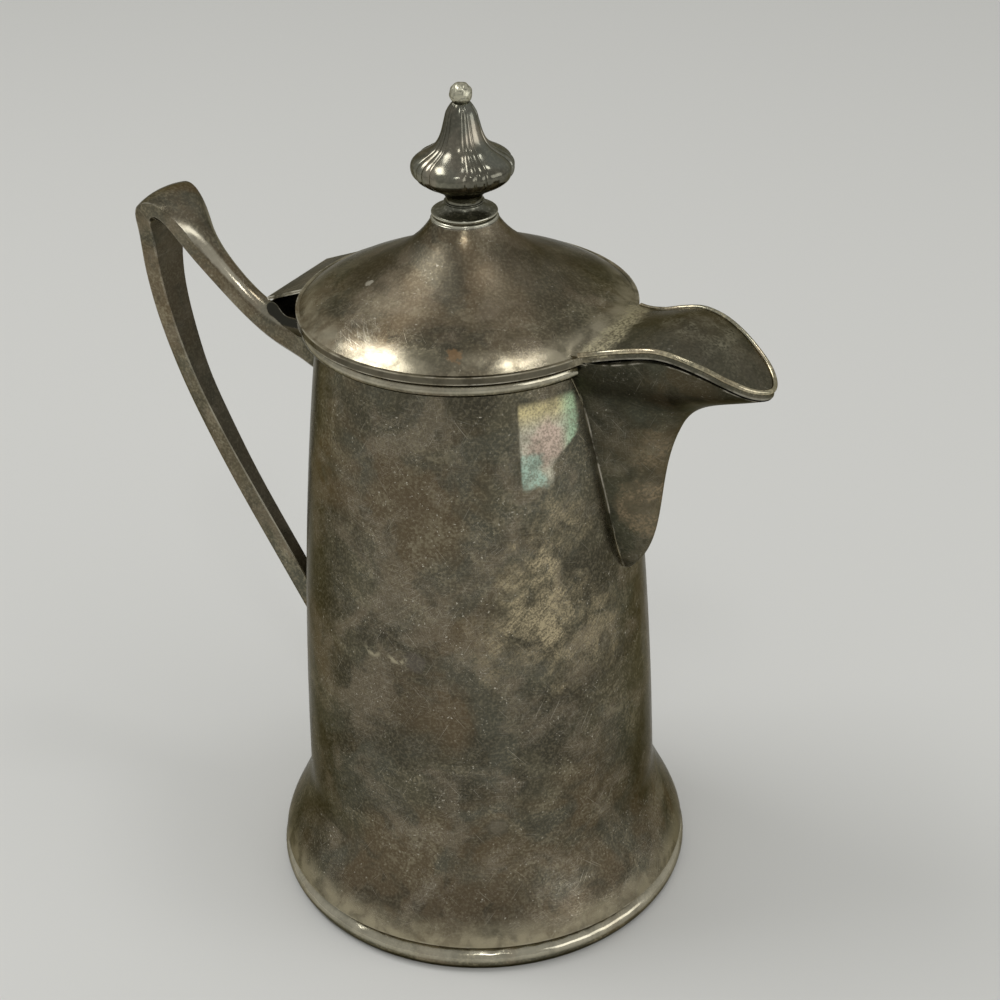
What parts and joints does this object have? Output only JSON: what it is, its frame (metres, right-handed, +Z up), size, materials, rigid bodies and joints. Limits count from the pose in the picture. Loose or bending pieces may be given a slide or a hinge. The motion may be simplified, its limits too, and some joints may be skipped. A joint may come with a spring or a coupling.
{
  "type": "coffee pot",
  "caption": "Tapered metal coffee pot with a flared foot, beaked spout, strap handle and a hinged ogee lid whose flap covers the spout, under a lobed finial.",
  "frame": {"origin": "centre of the foot, on the surface that the pot stands on", "axes": "+Z up along the pot's axis, +X towards the spout, -X towards the handle; the hinge pin lies along Y"},
  "size_m": [0.1744, 0.11, 0.2164],
  "materials": {
    "silver_plate": "tarnished silver plate over brass, scratched, worn bright on the edges",
    "brass_fittings": "plain drawn brass"
  },
  "bodies": {
    "pot": {"body_shell": "silver_plate", "base_plate": "silver_plate", "foot_rim": "silver_plate", "rim_moulding": "silver_plate", "spout": "silver_plate", "handle": "silver_plate", "hinge_lug": "silver_plate", "hinge_pin": "brass_fittings"},
    "lid": {"lid": "silver_plate", "lid_bezel": "silver_plate", "hinge_hood": "silver_plate", "lid_knuckle": "silver_plate", "finial_collar": "silver_plate", "finial": "silver_plate", "finial_bolt": "silver_plate", "finial_washer": "brass_fittings", "finial_nut": "brass_fittings"}
  },
  "joints": [
    {"name": "lid_hinge", "type": "hinge", "parent": "pot", "child": "lid", "pos_m": [-0.048, 0, 0.1554], "axis": [0, -1, 0], "range_deg": [0, 100]}
  ]
}
